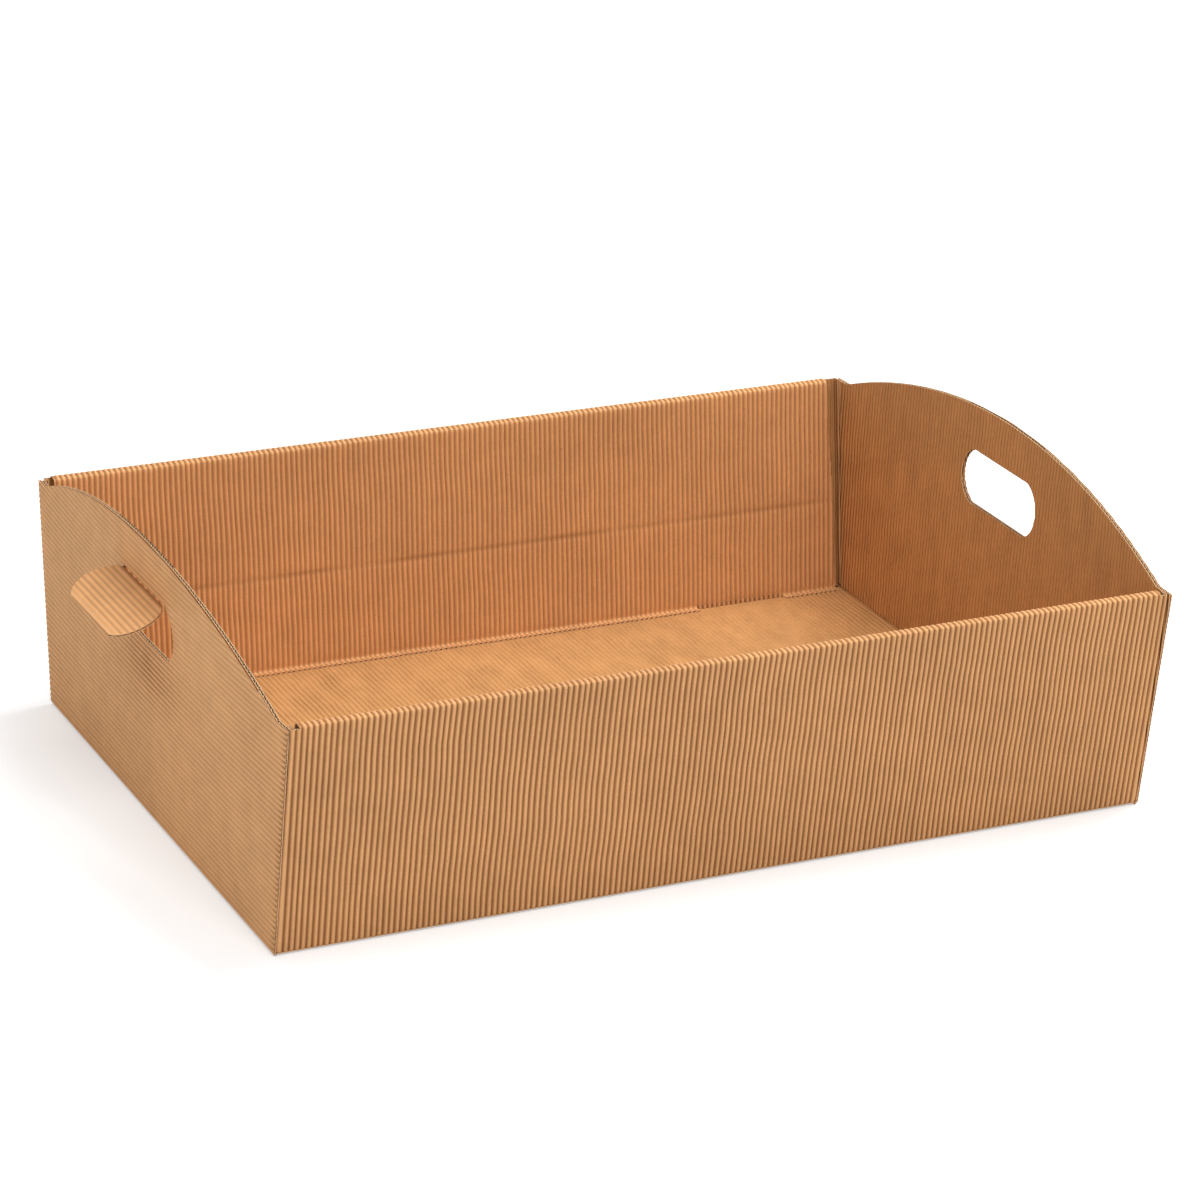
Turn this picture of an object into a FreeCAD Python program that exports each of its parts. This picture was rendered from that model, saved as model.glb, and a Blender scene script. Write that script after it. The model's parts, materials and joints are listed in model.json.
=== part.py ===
"""Cardboard tray box: one folded sheet of ribbed board with two hand flaps.

The tray is a die-cut, folded and self-locking sheet. Its long walls are
rolled over into hollow double walls, its end walls are two glued layers
with a bowed top edge and a hand hole, and each hand hole keeps its
push-out flap, hinged along the top edge of the hole.

Units are millimetres. The origin is the middle of the footprint, with the
underside of the base on z = 0, the long walls along X and +Z up.
"""
import FreeCAD, Part
import math
import os

import Sketcher
from FreeCAD import Placement, Rotation, Vector

DOC = FreeCAD.newDocument("CardboardTrayBox")

SIZES = {
    # board
    "board": 1.5,
    "flute_pitch": 3.14,
    "flute_depth": 0.9,
    "flute_crest": 0.1,
    "flute_width": 2.5,
    "crease_band": 2.5,
    # tray
    "length": 500.0,
    "width": 340.0,
    "wall_height": 130.0,
    "wall_lean": 16.5,
    "roll_depth": 8.0,
    "roll_gap": 4.0,
    "panel_foot": 6.7,
    "panel_drop": 3.0,
    # floor strip and locking tabs
    "strip_width": 4.0,
    "tab_start": 150.0,
    "tab_length": 57.5,
    "tab_rise": 0.3,
    "slot_gap": 0.35,
    # end walls
    "corner_height": 127.8,
    "crown_height": 161.5,
    "arch_half": 173.0,
    "bow_depth": 7.0,
    "bow_height": 165.0,
    "side_inset": 0.3,
    # hand holes and flaps
    "hole_length": 82.0,
    "hole_height": 32.0,
    "hole_top": 135.5,
    "hole_bulge": 12.0,
    "flap_gap": 0.4,
    "hinge_out": 0.3,
    "flap_open": 73.0,
}


def write_sheet():
    """Put every size in a spreadsheet, one alias each."""
    sheet = DOC.addObject("Spreadsheet::Sheet", "Spec")
    for row, (alias, number) in enumerate(SIZES.items(), start=1):
        sheet.set(f"A{row}", alias)
        sheet.set(f"B{row}", str(number))
        sheet.setAlias(f"B{row}", alias)
    DOC.recompute()


class Size:
    """A length that carries its number and its spreadsheet formula."""

    def __init__(self, number, formula):
        self.number = number
        self.formula = formula

    def __add__(self, other):
        return Size(self.number + other.number, f"({self.formula} + {other.formula})")

    def __sub__(self, other):
        return Size(self.number - other.number, f"({self.formula} - {other.formula})")

    def __mul__(self, factor):
        return Size(self.number * factor, f"({self.formula} * {factor})")

    def whole(self):
        return Size(math.floor(self.number), f"floor({self.formula})")

    def __truediv__(self, other):
        return Size(self.number / other.number, f"({self.formula} / {other.formula})")

    def times(self, other):
        return Size(self.number * other.number, f"({self.formula} * {other.formula})")

    def __neg__(self):
        return Size(-self.number, f"(0 - {self.formula})")


def spec(alias):
    return Size(SIZES[alias], f"Spec.{alias}")


ZERO = Size(0.0, "0")


def origin_plane(body, role):
    for feature in body.Origin.OriginFeatures:
        if getattr(feature, "Role", "") == role:
            return feature
    raise ValueError(role)


def new_body(name):
    return DOC.addObject("PartDesign::Body", name)


def new_sketch(body, name, role, lift=ZERO):
    """A sketch on one of the body's own planes, lifted along its normal."""
    sketch = body.newObject("Sketcher::SketchObject", name)
    sketch.AttachmentSupport = (origin_plane(body, role), [""])
    sketch.MapMode = "FlatFace"
    sketch.setExpression("AttachmentOffset.Base.z", lift.formula)
    return sketch


def pin(sketch, geo, point, x, y):
    """Hold a sketch point at x, y from the sketch origin."""
    for kind, size in (("DistanceX", x), ("DistanceY", y)):
        constraint = Sketcher.Constraint(kind, -1, 1, geo, point, size.number)
        index = sketch.addConstraint(constraint)
        sketch.setExpression(f"Constraints[{index}]", size.formula)


def add_outline(sketch, corners):
    """Draw a closed outline through corners given as pairs of sizes."""
    points = [Vector(x.number, y.number, 0) for x, y in corners]
    count = len(points)
    geos = []
    for i in range(count):
        line = Part.LineSegment(points[i], points[(i + 1) % count])
        geos.append(sketch.addGeometry(line, False))
    for i in range(count):
        nxt = geos[(i + 1) % count]
        sketch.addConstraint(Sketcher.Constraint("Coincident", geos[i], 2, nxt, 1))
    for geo, (x, y) in zip(geos, corners):
        pin(sketch, geo, 1, x, y)
    return geos


def add_box(sketch, x0, x1, y0, y1):
    add_outline(sketch, [(x0, y0), (x1, y0), (x1, y1), (x0, y1)])


def add_pad(body, sketch, length, midplane=False, name="Pad"):
    pad = body.newObject("PartDesign::Pad", name)
    pad.Profile = sketch
    pad.setExpression("Length", length.formula)
    pad.Midplane = midplane
    body.Tip = pad
    DOC.recompute()
    return pad


def add_mirror(body, features, role, name):
    mirror = body.newObject("PartDesign::Mirrored", name)
    mirror.Originals = features
    mirror.MirrorPlane = (origin_plane(body, role), [""])
    body.Tip = mirror
    DOC.recompute()
    return mirror


def add_base(body):
    half_x = spec("length") * 0.5
    half_y = spec("width") * 0.5
    sketch = new_sketch(body, "BaseOutline", "XY_Plane")
    add_box(sketch, -half_x, half_x, -half_y, half_y)
    add_pad(body, sketch, spec("board"), name="Base")


def lean_at(height):
    """Outward travel of the leaning wall at a height above the ground."""
    return spec("wall_lean").times(height) / spec("wall_height")


def add_long_walls(body):
    """Outer panel, rolled top and inner panel as one hollow section."""
    board = spec("board")
    top = spec("wall_height")
    foot = spec("width") * 0.5
    head = foot + spec("wall_lean")
    inner_foot = foot - spec("panel_foot")
    inner_head = head - spec("roll_depth")
    roof = top - board

    sketch = new_sketch(body, "RollSection", "YZ_Plane")
    add_outline(sketch, [(foot, ZERO), (head, top), (inner_head, top), (inner_foot, ZERO)])
    add_outline(sketch, [
        (foot + lean_at(board) - board, board),
        (foot + lean_at(roof) - board, roof),
        (inner_head + board, roof),
        (inner_foot + board, board),
    ])
    roll_length = spec("length") - board * 4 - spec("roll_gap") * 2
    roll = add_pad(body, sketch, roll_length, True, "RolledWall")

    cut_top = top - spec("panel_drop")
    sketch = new_sketch(body, "OuterPanelSection", "YZ_Plane")
    add_outline(sketch, [
        (foot, ZERO),
        (foot + lean_at(cut_top), cut_top),
        (foot + lean_at(cut_top) - board, cut_top),
        (foot - board, ZERO),
    ])
    panel = add_pad(body, sketch, spec("length") - board * 2, True, "OuterPanel")
    add_mirror(body, [roll, panel], "XZ_Plane", "FarLongWall")


def add_arc(sketch, ends, middle, hub):
    """An arc between two pinned ends whose centre lies on one pinned coordinate."""
    first, last = [Vector(x.number, y.number, 0) for x, y in ends]
    crown = Vector(middle[0].number, middle[1].number, 0)
    arc = sketch.addGeometry(Part.Arc(first, crown, last), False)
    kind, size = hub
    index = sketch.addConstraint(Sketcher.Constraint(kind, -1, 1, arc, 3, size.number))
    sketch.setExpression(f"Constraints[{index}]", size.formula)
    return arc


def add_line(sketch, start, end):
    first, last = [Vector(x.number, y.number, 0) for x, y in (start, end)]
    return sketch.addGeometry(Part.LineSegment(first, last), False)


def arc_radius(half, rise):
    return (half.times(half) + rise.times(rise)) / (rise * 2)


def add_bowed_strip(sketch, outer, thick, half, bulge):
    """Plan of an end wall: two layers thick, bulging outward between its sides."""
    inner = outer - thick
    middle_out = outer + bulge
    middle_in = inner + bulge
    hub_shift = arc_radius(half, bulge)
    outer_arc = add_arc(sketch, [(outer, -half), (outer, half)], (middle_out, ZERO),
                        ("DistanceX", middle_out - hub_shift))
    inner_arc = add_arc(sketch, [(inner, -half), (inner, half)], (middle_in, ZERO),
                        ("DistanceX", middle_in - hub_shift))
    far = add_line(sketch, (outer, half), (inner, half))
    near = add_line(sketch, (inner, -half), (outer, -half))
    sketch.addConstraint(Sketcher.Constraint("Coincident", outer_arc, 2, far, 1))
    sketch.addConstraint(Sketcher.Constraint("Coincident", far, 2, inner_arc, 2))
    sketch.addConstraint(Sketcher.Constraint("Coincident", inner_arc, 1, near, 1))
    sketch.addConstraint(Sketcher.Constraint("Coincident", near, 2, outer_arc, 1))
    pin(sketch, far, 1, outer, half)
    pin(sketch, far, 2, inner, half)
    pin(sketch, near, 1, inner, -half)
    pin(sketch, near, 2, outer, -half)


def add_end_walls(body):
    """Two glued layers, straight at the base and bellied out above, at both ends."""
    top = spec("bow_height")
    outer = spec("length") * 0.5
    thick = spec("board") * 2
    foot = spec("width") * 0.5 - spec("side_inset")
    head = foot + lean_at(top)

    low = new_sketch(body, "EndFoot", "XY_Plane")
    add_box(low, outer - thick, outer, -foot, foot)
    high = new_sketch(body, "EndHead", "XY_Plane", top)
    add_bowed_strip(high, outer, thick, head, spec("bow_depth"))
    wall = body.newObject("PartDesign::AdditiveLoft", "EndWall")
    wall.Profile = low
    wall.Sections = [high]
    wall.Ruled = True
    body.Tip = wall
    DOC.recompute()
    add_mirror(body, [wall], "YZ_Plane", "FarEndWall")
    trim_end_walls(body, head, top)


def trim_end_walls(body, head, top):
    """Cuts both end walls to the bowed top edge with its small shoulders."""
    corner = spec("corner_height")
    crown = spec("crown_height")
    arch = spec("arch_half")
    margin = spec("board")
    rise = crown - corner
    hub = crown - arc_radius(arch, rise)
    sketch = new_sketch(body, "TopEdge", "YZ_Plane")
    corners = [
        (-arch, corner),
        (-head - margin, corner),
        (-head - margin, top + margin),
        (head + margin, top + margin),
        (head + margin, corner),
        (arch, corner),
    ]
    lines = [add_line(sketch, start, end) for start, end in zip(corners, corners[1:])]
    arc = add_arc(sketch, [corners[-1], corners[0]], (ZERO, crown), ("DistanceY", hub))
    for first, second in zip(lines, lines[1:]):
        sketch.addConstraint(Sketcher.Constraint("Coincident", first, 2, second, 1))
    sketch.addConstraint(Sketcher.Constraint("Coincident", lines[-1], 2, arc, 1))
    sketch.addConstraint(Sketcher.Constraint("Coincident", arc, 2, lines[0], 1))
    for line, (y, z) in zip(lines, corners):
        pin(sketch, line, 1, y, z)
    pin(sketch, lines[-1], 2, *corners[-1])
    pocket = body.newObject("PartDesign::Pocket", "TopEdgeCut")
    pocket.Profile = sketch
    pocket.Type = "ThroughAll"
    pocket.Midplane = True
    body.Tip = pocket
    DOC.recompute()


def add_rounded_slot(sketch, middle_y, top, length, height, bulge):
    """Hand-hole outline: flat top and bottom, an arc at each end."""
    half = length * 0.5 - bulge
    mid = top - height * 0.5
    low = top - height
    tip = length * 0.5
    reach = height * 0.5
    radius = (reach.times(reach) + bulge.times(bulge)) / (bulge * 2)
    hub = tip - radius

    def point(y, z):
        return Vector(y.number + middle_y, z.number, 0)

    top_line = sketch.addGeometry(Part.LineSegment(point(half, top), point(-half, top)), False)
    left = Part.Arc(point(-half, top), point(-tip, mid), point(-half, low))
    left_arc = sketch.addGeometry(left, False)
    low_line = sketch.addGeometry(Part.LineSegment(point(-half, low), point(half, low)), False)
    right = Part.Arc(point(half, low), point(tip, mid), point(half, top))
    right_arc = sketch.addGeometry(right, False)
    sketch.addConstraint(Sketcher.Constraint("Coincident", top_line, 2, left_arc, 1))
    sketch.addConstraint(Sketcher.Constraint("Coincident", left_arc, 2, low_line, 1))
    sketch.addConstraint(Sketcher.Constraint("Coincident", low_line, 2, right_arc, 1))
    sketch.addConstraint(Sketcher.Constraint("Coincident", right_arc, 2, top_line, 1))
    pin(sketch, top_line, 1, half, top)
    pin(sketch, top_line, 2, -half, top)
    pin(sketch, low_line, 1, -half, low)
    pin(sketch, low_line, 2, half, low)
    for arc, middle in ((left_arc, -hub), (right_arc, hub)):
        index = sketch.addConstraint(Sketcher.Constraint("DistanceX", -1, 1, arc, 3, middle.number))
        sketch.setExpression(f"Constraints[{index}]", middle.formula)


def add_hand_holes(body):
    """One through cut makes the hand hole in both end walls."""
    sketch = new_sketch(body, "HandHole", "YZ_Plane")
    sizes = (spec("hole_top"), spec("hole_length"), spec("hole_height"), spec("hole_bulge"))
    add_rounded_slot(sketch, 0.0, *sizes)
    pocket = body.newObject("PartDesign::Pocket", "HandHoles")
    pocket.Profile = sketch
    pocket.Type = "ThroughAll"
    pocket.Midplane = True
    body.Tip = pocket
    DOC.recompute()


def add_floor_locks(body):
    """Floor strips, base slots and the locking tabs that drop into them."""
    board = spec("board")
    start = spec("tab_start")
    stop = start + spec("tab_length")
    gap = spec("slot_gap")
    face = spec("width") * 0.5 - spec("panel_foot")
    edge = face - spec("strip_width")
    roll_end = spec("length") * 0.5 - board * 2 - spec("roll_gap")

    sketch = new_sketch(body, "SlotOutline", "XY_Plane")
    for low, high in ((start - gap, stop + gap), (-stop - gap, gap - start)):
        add_box(sketch, low, high, face - gap, face + board + gap)
    pocket = body.newObject("PartDesign::Pocket", "TabSlots")
    pocket.Profile = sketch
    pocket.setExpression("Length", board.formula)
    pocket.Reversed = True
    body.Tip = pocket
    DOC.recompute()

    sketch = new_sketch(body, "TabOutline", "XY_Plane", spec("tab_rise"))
    for low, high in ((start, stop), (-stop, -start)):
        add_box(sketch, low, high, face, face + board)
    tabs = add_pad(body, sketch, board, name="LockingTabs")

    sketch = new_sketch(body, "StripOutline", "XY_Plane", board)
    for low, high in ((-roll_end, -stop - gap), (gap - start, start - gap), (stop + gap, roll_end)):
        add_box(sketch, low, high, edge, face + board)
    strips = add_pad(body, sketch, board, name="FloorStrips")
    add_mirror(body, [pocket, tabs, strips], "XZ_Plane", "FarFloorLocks")


def rib_count(extent):
    """How many whole ribs fit in an extent, with a flat margin left at its ends."""
    return (extent / spec("flute_pitch")).whole()


def repeat(body, groove, role, count, name):
    """Repeats a groove along one of the body's own axes at the flute pitch."""
    pattern = body.newObject("PartDesign::LinearPattern", name)
    pattern.Originals = [groove]
    pattern.Direction = (origin_plane(body, role), [""])
    extent = (count - Size(1, "1")).times(spec("flute_pitch"))
    pattern.setExpression("Length", extent.formula)
    pattern.setExpression("Occurrences", count.formula)
    body.Tip = pattern
    DOC.recompute()


def comb(extent, place, travel):
    """A zigzag cutter, one tooth per rib; place(along, out) puts a corner in space."""
    pitch = SIZES["flute_pitch"]
    count = int(extent / pitch)
    first = -count / 2 * pitch
    outline = [place(first, 1), place(first, 0.05)]
    for number in range(count):
        along = first + number * pitch
        outline.append(place(along + pitch / 2, -SIZES["flute_depth"]))
        outline.append(place(along + pitch, -SIZES["flute_crest"]))
    outline[-1] = place(-first, 0.05)
    outline.append(place(-first, 1))
    face = Part.Face(Part.makePolygon(outline + outline[:1]))
    return face.extrude(travel)


def panel_comb(extent, low, high, face_at, way):
    """Upright grooves of one leaning panel, between two heights."""
    start = face_at(low)

    def place(along, out):
        return Vector(along, start + way * out, low)

    return comb(extent, place, Vector(0, face_at(high) - start, high - low))


def wall_grooves():
    """Cutters for the upright ribs of both long walls, outside and inside."""
    board = SIZES["board"]
    band = SIZES["crease_band"]
    top = SIZES["wall_height"]
    lean = SIZES["wall_lean"]
    foot = SIZES["width"] / 2
    inner_foot = foot - SIZES["panel_foot"]
    inner_head = foot + lean - SIZES["roll_depth"]
    outside = SIZES["length"] - board * 4
    inside = outside - SIZES["roll_gap"] * 2 - band

    def outer_face(z):
        return foot + lean * z / top

    def inner_face(z):
        return inner_foot + (inner_head - inner_foot) * z / top

    cutters = []
    for side in (1, -1):
        upper = top - SIZES["panel_drop"] - band
        cutters.append(panel_comb(outside, band, upper, lambda z: side * outer_face(z), side))
        cutters.append(panel_comb(inside, board * 2 + band, top - band,
                                  lambda z: side * inner_face(z), -side))
    return cutters


def end_grooves():
    """Cutters for the lying ribs of the end walls, each bent to the wall's belly."""
    pitch = SIZES["flute_pitch"]
    wide = SIZES["flute_width"] / 2
    deep = SIZES["flute_depth"]
    foot = SIZES["width"] / 2
    under_hinge = SIZES["hole_top"] - pitch / 2
    below = int((under_hinge - SIZES["crease_band"] - wide) / pitch)
    first = under_hinge - below * pitch
    count = int((SIZES["crown_height"] - first) / pitch)
    cutters = []
    for row in range(count + 1):
        z = first + row * pitch
        bulge = SIZES["bow_depth"] * z / SIZES["bow_height"]
        half = foot + SIZES["wall_lean"] * z / SIZES["wall_height"] + SIZES["board"]
        radius = (half ** 2 + bulge ** 2) / (2 * bulge)
        face = SIZES["length"] / 2 + bulge
        hub = Vector(face - radius, 0, 0)
        corners = [(face + 0.05, z - wide), (face + 0.05, z + wide), (face - deep, z)]
        points = [Vector(x, 0, level) for x, level in corners]
        section = Part.Face(Part.makePolygon(points + points[:1]))
        angle = math.degrees(math.asin(half / radius))
        section.rotate(hub, Vector(0, 0, 1), -angle)
        cutter = section.revolve(hub, Vector(0, 0, 1), 2 * angle)
        cutters.append(cutter)
        cutters.append(cutter.mirror(Vector(0, 0, 0), Vector(1, 0, 0)))
    return cutters


def make_tray():
    body = new_body("Tray")
    add_base(body)
    add_end_walls(body)
    add_hand_holes(body)
    add_long_walls(body)
    add_floor_locks(body)
    grooves = DOC.addObject("Part::Feature", "Grooves")
    grooves.Shape = Part.makeCompound(wall_grooves() + end_grooves())
    ribbed = DOC.addObject("Part::Cut", "RibbedTray")
    ribbed.Base = body
    ribbed.Tool = grooves
    DOC.recompute()
    sheet = DOC.addObject("Part::Feature", "Sheet")
    sheet.Shape = max(ribbed.Shape.Solids, key=lambda solid: solid.Volume)
    sheet.Label = "folded_tray"
    return sheet


def make_flap(name):
    """A push-out flap with its ribs along the hinge."""
    body = new_body(name)
    gap = spec("flap_gap")
    out = spec("hinge_out")
    board = spec("board")
    sketch = new_sketch(body, f"{name}Outline", "YZ_Plane", out)
    length = spec("hole_length") - gap * 2
    height = spec("hole_height") - gap - out
    add_rounded_slot(sketch, 0.0, ZERO, length, height, spec("hole_bulge"))
    add_pad(body, sketch, board, name=f"{name}Sheet")

    wide = spec("flute_width") * 0.5
    count = rib_count(height - spec("crease_band") * 0.5)
    lowest = -height + spec("crease_band") * 0.25 + wide
    sketch = new_sketch(body, f"{name}RibSection", "XZ_Plane")
    proud = out - Size(0.05, "0.05")
    add_outline(sketch, [(proud, lowest - wide), (proud, lowest + wide),
                         (out + spec("flute_depth"), lowest)])
    groove = body.newObject("PartDesign::Pocket", f"{name}Groove")
    groove.Profile = sketch
    groove.Type = "ThroughAll"
    groove.Midplane = True
    body.Tip = groove
    DOC.recompute()
    repeat(body, groove, "Z_Axis", count, f"{name}Ribs")
    return body


def place_flap(body, end, label):
    """Stand the flap on its hinge line, open by the flap_open angle."""
    hinge_z = SIZES["hole_top"] - SIZES["hinge_out"]
    belly = SIZES["bow_depth"] * hinge_z / SIZES["bow_height"]
    hinge_x = SIZES["length"] * 0.5 + belly + SIZES["hinge_out"]
    swing = Rotation(Vector(0, 1, 0), SIZES["flap_open"])
    facing = Rotation(Vector(0, 0, 1), 0 if end < 0 else 180)
    body.Placement = Placement(Vector(end * hinge_x, 0, hinge_z), facing * swing)
    body.Label = label
    print(label, "hinge at", round(end * hinge_x, 3), round(hinge_z, 3))


def export_parts(parts):
    DOC.recompute()
    for thing in DOC.Objects:
        if "Invalid" in thing.State or "Error" in thing.State:
            raise RuntimeError(f"{thing.Name} has state {thing.State}")
    os.makedirs("parts", exist_ok=True)
    for node, thing in parts.items():
        shape = thing.Shape
        if shape.isNull() or not shape.isValid() or len(shape.Solids) != 1:
            raise RuntimeError(f"{node} is not one valid solid")
        shape.exportStep(f"parts/{node}.step")
        box = shape.optimalBoundingBox()
        print(node, round(shape.Volume, 1), "mm3", len(shape.Faces), "faces", box)


write_sheet()
tray = make_tray()
left_flap = make_flap("LeftFlap")
right_flap = make_flap("RightFlap")
place_flap(left_flap, -1, "left_hand_flap")
place_flap(right_flap, 1, "right_hand_flap")
export_parts({
    "folded_tray": tray,
    "left_hand_flap": left_flap,
    "right_hand_flap": right_flap,
})
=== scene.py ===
# %% [markdown]
# # A cardboard tray box, folded from one sheet of ribbed board
# The board is a smooth paper, the liner, with a wavy paper glued to it. The waves are
# called flutes. On this box they face out, so every wall shows close, even ribs.
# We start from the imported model, because it fixes every size and every moving body.

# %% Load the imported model
import json
import math
import random

import bmesh
import bpy
from mathutils import Matrix, Vector, noise


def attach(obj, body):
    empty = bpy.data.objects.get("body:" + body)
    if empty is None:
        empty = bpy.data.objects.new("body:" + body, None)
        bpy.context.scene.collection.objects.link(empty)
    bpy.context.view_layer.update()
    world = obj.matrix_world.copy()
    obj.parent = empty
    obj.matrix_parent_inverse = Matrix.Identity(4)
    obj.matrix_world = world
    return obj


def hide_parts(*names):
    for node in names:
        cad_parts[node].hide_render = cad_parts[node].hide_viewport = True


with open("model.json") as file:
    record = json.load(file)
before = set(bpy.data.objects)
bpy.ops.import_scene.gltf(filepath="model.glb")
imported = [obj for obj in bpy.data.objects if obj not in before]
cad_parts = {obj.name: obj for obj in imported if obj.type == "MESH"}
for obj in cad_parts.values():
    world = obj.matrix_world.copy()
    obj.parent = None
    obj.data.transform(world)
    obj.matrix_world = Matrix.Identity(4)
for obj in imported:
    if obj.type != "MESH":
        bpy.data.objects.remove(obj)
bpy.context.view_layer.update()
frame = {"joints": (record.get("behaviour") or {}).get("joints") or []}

# %% [markdown]
# Before any modelling we name the sizes of the box, in metres. A size that has a name
# can be used twice without the two places drifting apart.

# %% Name the sizes
MM = 0.001
LENGTH = 500 * MM
WIDTH = 340 * MM
WALL_TOP = 130 * MM
WALL_LEAN = 16.5 * MM
ROLL_DEPTH = 8 * MM
PANEL_FOOT = 6.7 * MM
STRIP_WIDTH = 4 * MM
PANEL_TOP = 127 * MM
ROLL_HALF = 243 * MM
PANEL_SLANT = 5.5 * MM

BOARD = 1.5 * MM
PAPER = 0.26 * MM
LINER = 0.36 * MM
FLUTE = BOARD - LINER
PITCH = 3.14 * MM

CORNER_TOP = 127.8 * MM
CROWN_TOP = 161.38 * MM
ARCH_HALF = 173 * MM
SIDE_INSET = 0.3 * MM
BOW = 6.36 * MM
END_FLUTE = 0.95 * MM
END_LINER = END_FLUTE + LINER

HOLE_HALF = 41 * MM
HOLE_TOP = 135.5 * MM
HOLE_HEIGHT = 32 * MM
HOLE_BULGE = 12 * MM

TAB_START = 150 * MM
TAB_STOP = 207.5 * MM
SLOT_GAP = 0.35 * MM

WALLS = (("near", -1), ("far", 1))
ENDS = (("left", -1), ("right", 1))
random.seed(7)
print("ribs along the box:", round(LENGTH / PITCH))

# %% [markdown]
# ## Laying paper on a grid
# Folded board is a flat thing that has been bent, so each sheet starts as a flat grid.
# A small rule then says where every point of the grid goes. We keep two notes on each
# point: its place on the flat sheet, which becomes the UV map, and how high it sits on
# its rib, which the paper's finish reads later to paint shade into the grooves.

# %% Helpers that lay a grid, move its points and spread places
def new_sheet():
    bm = bmesh.new()
    bm.verts.layers.float_vector.new("flat")
    bm.verts.layers.float.new("rib")
    return bm


def lay_grid(bm, across, along, place, flip=False):
    """Adds a grid of across by along faces; place(i, j) says where a point goes."""
    flat = bm.verts.layers.float_vector["flat"]
    rib = bm.verts.layers.float["rib"]
    made = bmesh.ops.create_grid(bm, x_segments=across, y_segments=along, size=1.0)
    for vert in made["verts"]:
        i = round((vert.co.x + 1) * across / 2)
        j = round((vert.co.y + 1) * along / 2)
        point, sheet_place, height = place(i, j)
        vert.co = point
        vert[flat] = (*sheet_place, 0.0)
        vert[rib] = height
    if flip:
        faces = list({face for vert in made["verts"] for face in vert.link_faces})
        bmesh.ops.reverse_faces(bm, faces=faces)


def even_steps(low, high, size):
    """Evenly spread places from low to high, about a size apart."""
    count = max(1, round((high - low) / size))
    return [low + (high - low) * k / count for k in range(count + 1)]


# %% [markdown]
# A grid has no thickness, and the cut edges of this box show a lot: the open flutes
# along the bowed edges are one of its details. So every sheet is made solid, as thick
# as its paper, before it becomes an object that rides on the tray. Solidify adds the
# narrow faces of the cut edge last, so they are easy to find, and we note them as well:
# freshly cut paper is paler than its skin.

# %% A helper that gives a sheet its thickness and makes it a piece
def finish_sheet(bm, name, material, thickness, body="tray", node="folded_tray", pale=1.0):
    both_skins = 2 * len(bm.faces)
    bmesh.ops.solidify(bm, geom=bm.faces[:], thickness=thickness)
    flat = bm.verts.layers.float_vector["flat"]
    uv = bm.loops.layers.uv.new("UVMap")
    cut = bm.loops.layers.float.new("cut")
    for number, face in enumerate(bm.faces):
        face.smooth = number < both_skins
        for loop in face.loops:
            loop[uv].uv = loop.vert[flat].xy
            loop[cut] = 0.0 if face.smooth else pale
    mesh = bpy.data.meshes.new(name)
    bm.to_mesh(mesh)
    bm.free()
    mesh.set_sharp_from_angle(angle=math.radians(80))
    mesh.materials.append(material)
    piece = bpy.data.objects.new(name, mesh)
    bpy.context.collection.objects.link(piece)
    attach(piece, body)
    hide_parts(node)
    farthest = [round(max(v.co[k] for v in mesh.vertices) / MM, 1) for k in range(3)]
    print(name, "faces:", len(mesh.polygons), "reaches:", farthest, "mm")


# %% [markdown]
# ## The ribs
# One rib is a wave: a broad round crest and a narrow groove where the wavy paper is
# glued down. Seven points and the groove are enough, if they stand closer on the slopes.
# Real ribs are never all alike, so each gets its own small shift and height.

# %% Points across a run of ribs
RIB_SHAPE = [(-0.37, 0.25), (-0.25, 0.62), (-0.12, 0.91), (0.0, 1.0),
             (0.12, 0.91), (0.25, 0.62), (0.37, 0.25)]


def rib_stations(first_groove, count):
    """Places across the ribs with the height there, 0 in a groove and 1 on a crest."""
    stations = [(first_groove, 0.0)]
    for number in range(count):
        crest = first_groove + (number + 0.5) * PITCH + random.uniform(-0.05, 0.05) * PITCH
        tall = random.uniform(0.93, 1.0)
        for shift, height in RIB_SHAPE:
            stations.append((crest + shift * PITCH, height * tall))
        stations.append((first_groove + (number + 1) * PITCH, 0.0))
    return stations


def clip_stations(stations, low, high):
    """Keeps the stations between two cuts and puts one on each cut."""
    inside = [s for s in stations if low + 0.1 * MM < s[0] < high - 0.1 * MM]

    def height_at(place):
        for (a, ha), (b, hb) in zip(stations, stations[1:]):
            if a <= place <= b:
                return ha + (hb - ha) * (place - a) / max(b - a, 1e-9)
        return 1.0

    return [(low, height_at(low))] + inside + [(high, height_at(high))]


RIBS_ALONG = 158
long_ribs = rib_stations(-RIBS_ALONG / 2 * PITCH, RIBS_ALONG)
print("stations across the long wall:", len(long_ribs))

# %% [markdown]
# ## The folded section of a long wall
# Seen from the end, each long wall is one strip of board. It leaves the base, goes up
# and leans out, turns over a flat rolled top, comes down inside and ends in a narrow
# strip on the floor. We describe it as corners with a bend radius, and walk along it
# to get points, the direction each one faces and the distance travelled.

# %% Walk along the folded section
SHORT_SPAN = 10 * MM
BESIDE_CREASE = (1.2 * MM, 3 * MM)


def span_places(length, step):
    """Places along a straight span, closer together beside its creases."""
    if length < SHORT_SPAN:
        return [length * k / 4 for k in range(5)]
    close, clear = BESIDE_CREASE
    return [0.0, close] + even_steps(clear, length - clear, step) + [length - close, length]


DEGREES_A_ROW = 24


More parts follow.
